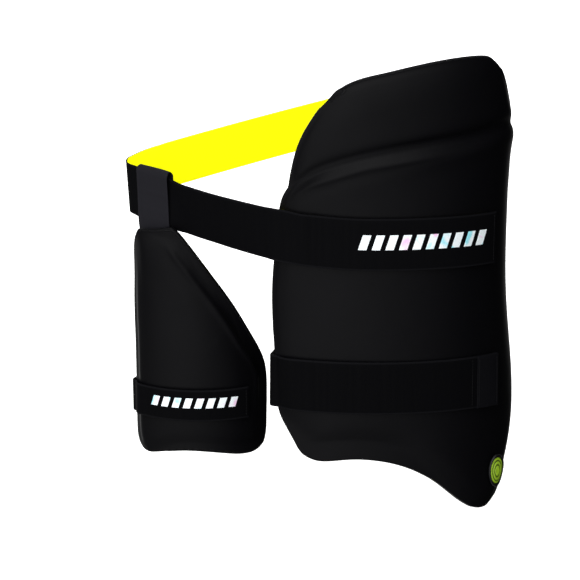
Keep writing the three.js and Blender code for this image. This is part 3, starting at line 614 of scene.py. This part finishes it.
def woven_elastic():
    """Fine ribs across the band between its warp threads, and a firmer selvedge along each edge; its mask
    also places a painted highlight there.
    """
    tree, given, result = effect(
        "Woven elastic",
        [("Run", "NodeSocketFloat", 0), ("Across", "NodeSocketFloat", 0),
         ("Rib", "NodeSocketFloat", 0.001), ("Width", "NodeSocketFloat", 0.04)],
        [("Height", "NodeSocketFloat"), ("Selvedge and highlight", "NodeSocketFloat"), ("Uneven", "NodeSocketFloat")],
    )
    rib = sums(tree, "SINE", sums(tree, "DIVIDE", sums(tree, "MULTIPLY", given.outputs["Run"], math.pi),
                                  given.outputs["Rib"]))
    side = sums(tree, "MULTIPLY", given.outputs["Across"], given.outputs["Width"])
    warp = sums(tree, "SINE", sums(tree, "DIVIDE", sums(tree, "MULTIPLY", side, math.pi),
                                   sums(tree, "MULTIPLY", given.outputs["Rib"], 0.8)))
    weave = sums(tree, "MULTIPLY", sums(tree, "ABSOLUTE", rib), sums(tree, "ABSOLUTE", warp))
    half = sums(tree, "MULTIPLY", given.outputs["Width"], 0.5)
    inside = sums(tree, "SUBTRACT", half, sums(tree, "ABSOLUTE", side))
    selvedge_and_highlight = between(tree, inside, 0.0012, 0.0018, 1.0, 0.0)
    stretched = sums(tree, "MULTIPLY", given.outputs["Run"], 60.0)
    along = put(tree, "ShaderNodeCombineXYZ", {0: stretched, 1: side})
    uneven = put(tree, "ShaderNodeTexNoise", {"Vector": along.outputs[0], "Scale": 3.0, "Detail": 4.0})
    tree.links.new(sums(tree, "MULTIPLY_ADD", selvedge_and_highlight, 0.8, weave), result.inputs["Height"])
    tree.links.new(selvedge_and_highlight, result.inputs["Selvedge and highlight"])
    tree.links.new(uneven.outputs[0], result.inputs["Uneven"])
    return tree


weave = woven_elastic()


def elastic(name, plain, shaded, selvedge_and_highlight, rib, width, rough, gloss):
    material, tree, shader = new_finish(name)
    run = stored(tree, "run")
    across = stored(tree, "across")
    woven = put(tree, "ShaderNodeGroup", {}, node_tree=weave)
    tree.links.new(run, woven.inputs["Run"])
    tree.links.new(across, woven.inputs["Across"])
    woven.inputs["Rib"].default_value = rib
    woven.inputs["Width"].default_value = width
    body = blend(tree, woven.outputs["Uneven"], plain, shaded)
    # The edges take the lighter edge colour: a painted highlight along both edges of the band.
    edged = blend(tree, woven.outputs["Selvedge and highlight"], body, selvedge_and_highlight)
    tree.links.new(edged, shader.inputs["Base Color"])
    worn = between(tree, woven.outputs["Uneven"], 0.3, 0.7, rough, rough - 0.1)
    tree.links.new(worn, shader.inputs["Roughness"])
    ribs = put(tree, "ShaderNodeBump", {
        "Strength": 0.35, "Distance": 0.0002, "Height": woven.outputs["Height"]})
    tree.links.new(ribs.outputs[0], shader.inputs["Normal"])
    shader.inputs["Specular IOR Level"].default_value = gloss
    return material


belt_route = Webbing("waist_belt", 4, near_plan(0.147, -0.103), (0, 0, 1))
belt = webbing_piece("belt", belt_route, 0.002, 10, 0.0003)
belt.data.materials.append(elastic(
    "belt elastic", belt_black, belt_shade, belt_edge_highlight, belt_rib, belt_route.width,
    elastic_rough, elastic_gloss))
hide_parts("waist_belt")
lining_route = Webbing("belt_lining", 4, near_plan(0.1463, -0.1017), (0, 0, 1))
lining = webbing_piece(
    "lining", lining_route, 0.002, 10, 0.0002,
    width_at=lambda run: lining_route.width - lining_inset * (1 - ease(run, 0.325, 0.342)), start=0.005)
lining.data.materials.append(elastic(
    "yellow lining", lining_yellow, lining_shade, lining_yellow, 0.0014, lining_route.width, 0.85, 0.05))
# The back stretch of the lining glows, though it is no lamp: painted light that brightens its yellow. The
# front run, from the free end, doesn't glow.
lining_glow_tree = lining.data.materials[0].node_tree
lining_run = stored(lining_glow_tree, "run")
behind = between(lining_glow_tree, lining_run, 0.33, 0.345, 0.0, 1.0)
painted_glow = blend(lining_glow_tree, behind, (0, 0, 0, 1), lining_yellow)
lining_glow_tree.links.new(painted_glow, lining_glow_tree.nodes["Principled BSDF"].inputs["Emission Color"])
lining_glow_tree.nodes["Principled BSDF"].inputs["Emission Strength"].default_value = 0.6
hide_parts("belt_lining")

# Foil on the belt
# A row of slanted bars of thin foil, pressed onto the elastic near its free end. They shift between
# white, pale blue and pale pink.
foil_white = (0.9, 0.97, 1.0, 1)
foil_blue = (0.35, 0.85, 0.95, 1)
foil_pink = (0.95, 0.45, 0.8, 1)
foil_thickness = 0.00025
bar_share = 0.62


def foil():
    material, tree, shader = new_finish("pale foil")
    place = put(tree, "ShaderNodeTexCoord").outputs["Object"]
    shift = put(tree, "ShaderNodeTexNoise", {
        "Vector": place, "Scale": 60.0, "Detail": 2.0, "Distortion": 0.6})
    tint = put(tree, "ShaderNodeValToRGB", {"Fac": shift.outputs[0]})
    tint.color_ramp.elements[0].position = 0.34
    tint.color_ramp.elements[0].color = foil_blue
    tint.color_ramp.elements[1].position = 0.7
    tint.color_ramp.elements[1].color = foil_pink
    for position, colour in ((0.44, foil_white), (0.6, foil_white)):
        stop = tint.color_ramp.elements.new(position)
        stop.color = colour
    tree.links.new(tint.outputs[0], shader.inputs["Base Color"])
    crinkle = put(tree, "ShaderNodeTexNoise", {"Vector": place, "Scale": 900.0, "Detail": 3.0})
    rough = between(tree, crinkle.outputs[0], 0.3, 0.7, 0.25, 0.4)
    tree.links.new(rough, shader.inputs["Roughness"])
    bump = put(tree, "ShaderNodeBump", {"Strength": 0.2, "Distance": 0.0001, "Height": crinkle.outputs[0]})
    tree.links.new(bump.outputs[0], shader.inputs["Normal"])
    shader.inputs["Metallic"].default_value = 0.25
    return material


foil_finish = foil()


def foil_row(name, webbing, first, last, bars, height, slant, rise):
    """Bars between two places along the webbing, drawn flat first and then laid on it, a little over
    its middle line."""
    pitch = (last - first) / bars
    pieces = []
    for index in range(bars):
        bpy.ops.object.select_all(action="DESELECT")
        bpy.ops.mesh.primitive_cube_add(size=1)
        bar = bpy.context.object
        middle = first + pitch * (index + 0.5)
        bpy.ops.object.mode_set(mode="EDIT")
        bpy.ops.mesh.subdivide(number_cuts=3)
        bpy.ops.object.mode_set(mode="OBJECT")
        for vertex in bar.data.vertices:
            x, y, z = vertex.co
            vertex.co = (middle + x * bar_share * pitch - y * slant, y * height + rise,
                         webbing.cloth / 2 + (z + 0.5) * foil_thickness)
        soft = bar.modifiers.new("Edges", "BEVEL")
        soft.width = 0.00008
        soft.segments = 1
        only(bar)
        bpy.ops.object.modifier_apply(modifier=soft.name)
        pieces.append(bar)
    bpy.ops.object.select_all(action="DESELECT")
    for bar in pieces:
        bar.select_set(True)
    bpy.context.view_layer.objects.active = pieces[0]
    bpy.ops.object.join()
    row = bpy.context.object
    row.name = name
    lay_on(row, webbing)
    row.data.materials.append(foil_finish)
    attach(row, "root")
    return row


foil_row("belt_foil", belt_route, 0.0105, 0.1225, 10, 0.0125, 0.004, 0.002)

# Hanger
# Soft dark elastic folded over the belt. Both of its ends are sewn behind the top of the inner pad,
# which hangs from it.
hanger_grey = (0.0084, 0.0082, 0.0106, 1)
hanger_shade = (0.0101, 0.0098, 0.0128, 1)
hanger_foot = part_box("hanger_loop")[0][2] + 0.003
hanger_route = Webbing("hanger_loop", 8, lambda corner: corner.z < hanger_foot, (1, -0.5, 0))
hanger_trim = 0.0026
hanger = webbing_piece(
    "hanger", hanger_route, 0.0012, 12, 0.0004,
    width_at=lambda run: hanger_route.width - hanger_trim, shift=-hanger_trim / 2)
hanger.data.materials.append(elastic(
    "hanger elastic", hanger_grey, hanger_shade, hanger_shade, 0.0008, hanger_route.width, 0.7, 0.06))
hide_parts("hanger_loop")

# Outer leg strap
# Wide woven elastic, sewn inside the outer pad's far edge, that runs behind the thigh and closes on
# the front of the pad. A coated tape stiffens its free end.
strap_black = (0.0013, 0.0013, 0.0017, 1)
strap_shade = (0.0018, 0.0018, 0.0022, 1)
strap_route = Webbing("outer_leg_strap", 4, near_plan(0.1535, -0.1035), (0, 0, 1))
strap = webbing_piece("outer_strap", strap_route, 0.002, 10, 0.0004)
strap.data.materials.append(elastic(
    "strap elastic", strap_black, strap_shade, belt_edge_highlight, belt_rib, strap_route.width,
    elastic_rough, elastic_gloss))
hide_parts("outer_leg_strap")

# Strap tab
# A coated tape over the strap's free end, to pull it open by. Thread in two rows holds it down.
tab_grey = (0.0026, 0.0026, 0.0034, 1)
tab_shade = (0.0034, 0.0034, 0.0044, 1)
thread_black = (0.0016, 0.0016, 0.002, 1)
thread_shine = (0.004, 0.004, 0.0048, 1)
thread_radius = 0.00028
thread_rise = 0.0001
stitch_pitch = 0.0026
stitch_share = 0.72
stitch_inset = 0.0025
tab_stitch_inset = 0.0022
tab_route = Webbing("outer_strap_tab", 4, near_plan(0.1543, -0.1046), (0, 0, 1))
tab = webbing_piece("strap_tab", tab_route, 0.001, 12, 0.00035)
tab.data.materials.append(elastic(
    "coated tape", tab_grey, tab_shade, tab_shade, 0.0016, tab_route.width, 0.5, 0.06))
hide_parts("outer_strap_tab")


def thread():
    material, tree, shader = new_finish("black thread")
    place = put(tree, "ShaderNodeTexCoord").outputs["Object"]
    twist = put(tree, "ShaderNodeTexNoise", {"Vector": place, "Scale": 3000.0, "Detail": 2.0})
    tone = blend(tree, twist.outputs[0], thread_black, thread_shine)
    tree.links.new(tone, shader.inputs["Base Color"])
    lay = put(tree, "ShaderNodeBump", {"Strength": 0.4, "Distance": 0.0001, "Height": twist.outputs[0]})
    tree.links.new(lay.outputs[0], shader.inputs["Normal"])
    shader.inputs["Roughness"].default_value = 0.6
    shader.inputs["Specular IOR Level"].default_value = 0.1
    return material


thread_finish = thread()


def stitch_lines(name, webbing, lines):
    """Stitches between pairs of places, each given as run and across, laid on the webbing."""
    stitches = []
    for (run_a, across_a), (run_b, across_b) in lines:
        length = math.hypot(run_b - run_a, across_b - across_a)
        turn = math.atan2(across_b - across_a, run_b - run_a)
        count = max(2, round(length / stitch_pitch))
        for index in range(count):
            share = (index + 0.5) / count
            bpy.ops.object.select_all(action="DESELECT")
            bpy.ops.mesh.primitive_cylinder_add(
                vertices=6, radius=thread_radius, depth=stitch_share * stitch_pitch,
                rotation=(0, math.pi / 2, turn),
                location=(run_a + (run_b - run_a) * share, across_a + (across_b - across_a) * share,
                          webbing.cloth / 2 + thread_rise))
            stitch = bpy.context.object
            bpy.ops.object.transform_apply()
            ends = stitch.modifiers.new("Ends", "BEVEL")
            ends.width = 0.00012
            ends.segments = 1
            bpy.ops.object.modifier_apply(modifier=ends.name)
            stitches.append(stitch)
    bpy.ops.object.select_all(action="DESELECT")
    for stitch in stitches:
        stitch.select_set(True)
    bpy.context.view_layer.objects.active = stitches[0]
    bpy.ops.object.join()
    rows = bpy.context.object
    rows.name = name
    lay_on(rows, webbing)
    bpy.ops.object.shade_smooth()
    rows.data.materials.append(thread_finish)
    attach(rows, "root")
    return rows


side = tab_route.width / 2 - stitch_inset
tab_rows = (tab_stitch_inset, tab_route.length - tab_stitch_inset)
stitch_lines("tab_stitches", tab_route, [((row, -side), (row, side)) for row in tab_rows])

# Inner leg strap
# Narrower elastic of the same weave that holds the inner pad to its thigh, with its own row of foil.
inner_strap_route = Webbing("inner_leg_strap", 4, near_plan(-0.060, -0.074), (0, 0, 1))
inner_strap = webbing_piece("inner_strap", inner_strap_route, 0.002, 8, 0.0004)
inner_strap.data.materials.append(elastic(
    "narrow strap elastic", strap_black, strap_shade, belt_edge_highlight, belt_rib,
    inner_strap_route.width, elastic_rough, elastic_gloss))
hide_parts("inner_leg_strap")
foil_row("inner_strap_foil", inner_strap_route, 0.010, 0.0895, 8, 0.009, 0.003, 0.0024)

# Free ends
# The belt and both straps are turned in and sewn down in a row at their free ends.
for name, route in (("belt_end_stitches", belt_route), ("inner_strap_end_stitches", inner_strap_route)):
    side = route.width / 2 - stitch_inset
    stitch_lines(name, route, [((0.003, -side), (0.003, side))])
side = strap_route.width / 2 - stitch_inset
edge = tab_route.length + 0.004
stitch_lines("strap_end_stitches", strap_route, [((edge, -side), (edge, side))])

# Badge
# A round soft moulding on the lobe of the outer pad: a black rim round a yellow-green disc, which
# carries plain raised rings, with painted shade in the hollows beside them.
rim_black = (0.0022, 0.0022, 0.0024, 1)
disc_lime = (0.27, 0.44, 0.02, 1)
# The disc's darker colour beside the rings is painted shade in the hollows, and also stands for the emblem's
# dark lines.
disc_groove_shade = (0.012, 0.025, 0.002, 1)
ring_places = (0.0028, 0.0058)
ring_height = 0.0004


def moulding(name, plain, groove_shade_colour, rough):
    material, tree, shader = new_finish(name)
    place = put(tree, "ShaderNodeTexCoord").outputs["Object"]
    knit = put(tree, "ShaderNodeGroup", {}, node_tree=grain)
    tree.links.new(place, knit.inputs["Vector"])
    knit.inputs["Patch"].default_value = 160
    # Where the mesh marks a hollow, the colour darkens: painted shade in the hollows.
    groove_shade = stored(tree, "groove_shade")
    tone = blend(tree, groove_shade, plain, groove_shade_colour)
    tree.links.new(tone, shader.inputs["Base Color"])
    rubbed = between(tree, knit.outputs["Handled"], 0.3, 0.7, rough, rough - 0.12)
    tree.links.new(rubbed, shader.inputs["Roughness"])
    pebble = put(tree, "ShaderNodeBump", {
        "Strength": 0.1, "Distance": 0.0001, "Height": knit.outputs["Height"]})
    tree.links.new(pebble.outputs[0], shader.inputs["Normal"])
    shader.inputs["Specular IOR Level"].default_value = 0.3
    return material


badge_rim = copy_of("badge_rim", "badge_border")
subdivide(badge_rim, 2)
bpy.ops.object.shade_smooth()
badge_rim.data.materials.append(moulding("black moulding", rim_black, rim_black, 0.5))
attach(badge_rim, "root")
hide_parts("badge_rim")

badge_disc = copy_of("badge_disc", "badge_face")
subdivide(badge_disc, 3)
corners = [v.co for v in badge_disc.data.vertices]
badge_middle = sum(corners, Vector()) / len(corners)
pad_middle = Vector((0.05, 0.1, badge_middle.z))
badge_out = max((v.normal.copy() for v in badge_disc.data.vertices),
                key=lambda normal: normal.dot((badge_middle - pad_middle).normalized()))
groove_shade = badge_disc.data.attributes.new("groove_shade", "FLOAT", "POINT")
outwards = [v.normal.copy() for v in badge_disc.data.vertices]
for vertex, outward in zip(badge_disc.data.vertices, outwards):
    offset = vertex.co - badge_middle
    radius = (offset - badge_out * offset.dot(badge_out)).length
    ring = max(mound(radius - place, 0.0007) for place in ring_places)
    hollow = max(mound(radius - place - 0.0015, 0.0007) for place in ring_places)
    front = max(0.0, outward.dot(badge_out)) ** 2
    # The hollow beside each ring is also stored for the colour, as painted shade there.
    groove_shade.data[vertex.index].value = hollow * front
    vertex.co += badge_out * ring_height * front * (ring - 0.6 * hollow)
only(badge_disc)
bpy.ops.object.shade_smooth()
badge_disc.data.materials.append(moulding("lime moulding", disc_lime, disc_groove_shade, 0.5))
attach(badge_disc, "root")
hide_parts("badge_disc")

# Oval of the badge
# Rim and disc are drawn out to an oval that stands upright, seen from the front, and both follow the
# shell's skin under them.
disc_radius = 0.0095
oval_half_width = 0.0060
oval_half_height = 0.0118
seen_up = Vector((0, math.sin(camera_rise), math.cos(camera_rise)))
skin = BVHTree.FromPolygons(
    [v.co for v in outer_shell.data.vertices], [p.vertices for p in outer_shell.data.polygons])
level_in_badge = badge_out.cross(Vector((0, 0, 1))).normalized()
rise_in_badge = badge_out.cross(level_in_badge)
seen_badge = Matrix((
    (level_in_badge.x, rise_in_badge.x),
    (level_in_badge.dot(seen_up), rise_in_badge.dot(seen_up)),
))
oval = Matrix(((oval_half_width / disc_radius, 0), (0, oval_half_height / disc_radius)))
drawn_out = seen_badge.inverted() @ oval
square = drawn_out @ drawn_out.transposed()
root = math.sqrt(square.determinant())
stretch = (square + Matrix.Identity(2) * root) * (1 / math.sqrt(square[0][0] + square[1][1] + 2 * root))


def skin_height(place):
    hit = skin.ray_cast(place + badge_out * 0.02, -badge_out)[0]
    return None if hit is None else (hit - badge_middle).dot(badge_out)


for piece in (badge_rim, badge_disc):
    for vertex in piece.data.vertices:
        offset = vertex.co - badge_middle
        flat = stretch @ Vector((offset.dot(level_in_badge), offset.dot(rise_in_badge)))
        there = badge_middle + level_in_badge * flat.x + rise_in_badge * flat.y
        there += badge_out * offset.dot(badge_out)
        before = skin_height(vertex.co)
        after = skin_height(there)
        if before is not None and after is not None:
            there += badge_out * (after - before)
        vertex.co = there
    piece.data.update()

# Floor and light
# A pale floor, and one broad soft light from the front left, stronger from above. It falls off to
# the sides, so that the far side of the shell is nearly black. A weaker one lights the back.
floor_height = cad_bounds[0][2] - 0.012
bpy.ops.object.select_all(action="DESELECT")
bpy.ops.mesh.primitive_plane_add(size=60, location=(0, 0, floor_height))
floor = bpy.context.object
floor.visible_diffuse = False
floor.visible_glossy = False
floor_paint = bpy.data.materials.new("pale floor")
floor_paint.use_nodes = True
shown = floor_paint.node_tree.nodes["Principled BSDF"]
shown.inputs["Base Color"].default_value = (0.93, 0.93, 0.93, 1)
shown.inputs["Roughness"].default_value = 0.9
shown.inputs["Emission Color"].default_value = (1, 1, 1, 1)
shown.inputs["Emission Strength"].default_value = 0.8
floor.data.materials.append(floor_paint)

light_azimuth = math.radians(-24)
light_way = (math.sin(light_azimuth), -math.cos(light_azimuth), 0)
light_strength = 2.35
light_everywhere = 0.03
back_way = (-0.4, 0.917, 0)
back_strength = 1.3
world = bpy.data.worlds.new("surround")
world.use_nodes = True
bpy.context.scene.world = world
around = world.node_tree
facing = put(around, "ShaderNodeTexCoord").outputs["Generated"]
level_way = put(around, "ShaderNodeVectorMath", {0: facing, 1: (1, 1, 0)}, operation="MULTIPLY").outputs[0]
level_way = put(around, "ShaderNodeVectorMath", {0: level_way}, operation="NORMALIZE").outputs[0]
towards = put(
    around, "ShaderNodeVectorMath", {0: level_way, 1: light_way}, operation="DOT_PRODUCT").outputs["Value"]
sideways = between(around, towards, -0.25, 1.0, 0.0, 1.0)
height = put(around, "ShaderNodeSeparateXYZ", {0: facing}).outputs["Z"]
overhead = between(around, height, -0.8, 0.8, 0.4, 1.7)
spread = sums(around, "MULTIPLY", sums(around, "POWER", sideways, 3.6), overhead)
glow = sums(around, "MULTIPLY_ADD", spread, light_strength, light_everywhere)
back = put(
    around, "ShaderNodeVectorMath", {0: level_way, 1: back_way}, operation="DOT_PRODUCT").outputs["Value"]
back = between(around, back, 0.35, 1.0, 0.0, 1.0)
glow = sums(around, "MULTIPLY_ADD", sums(around, "POWER", back, 1.5), back_strength, glow)
seen = put(around, "ShaderNodeLightPath").outputs["Is Camera Ray"]
level = put(around, "ShaderNodeMix", {"Factor": seen, 2: glow, 3: 1.0}).outputs[0]
backdrop = around.nodes["Background"]
backdrop.inputs["Color"].default_value = (1, 1, 1, 1)
around.links.new(level, backdrop.inputs["Strength"])
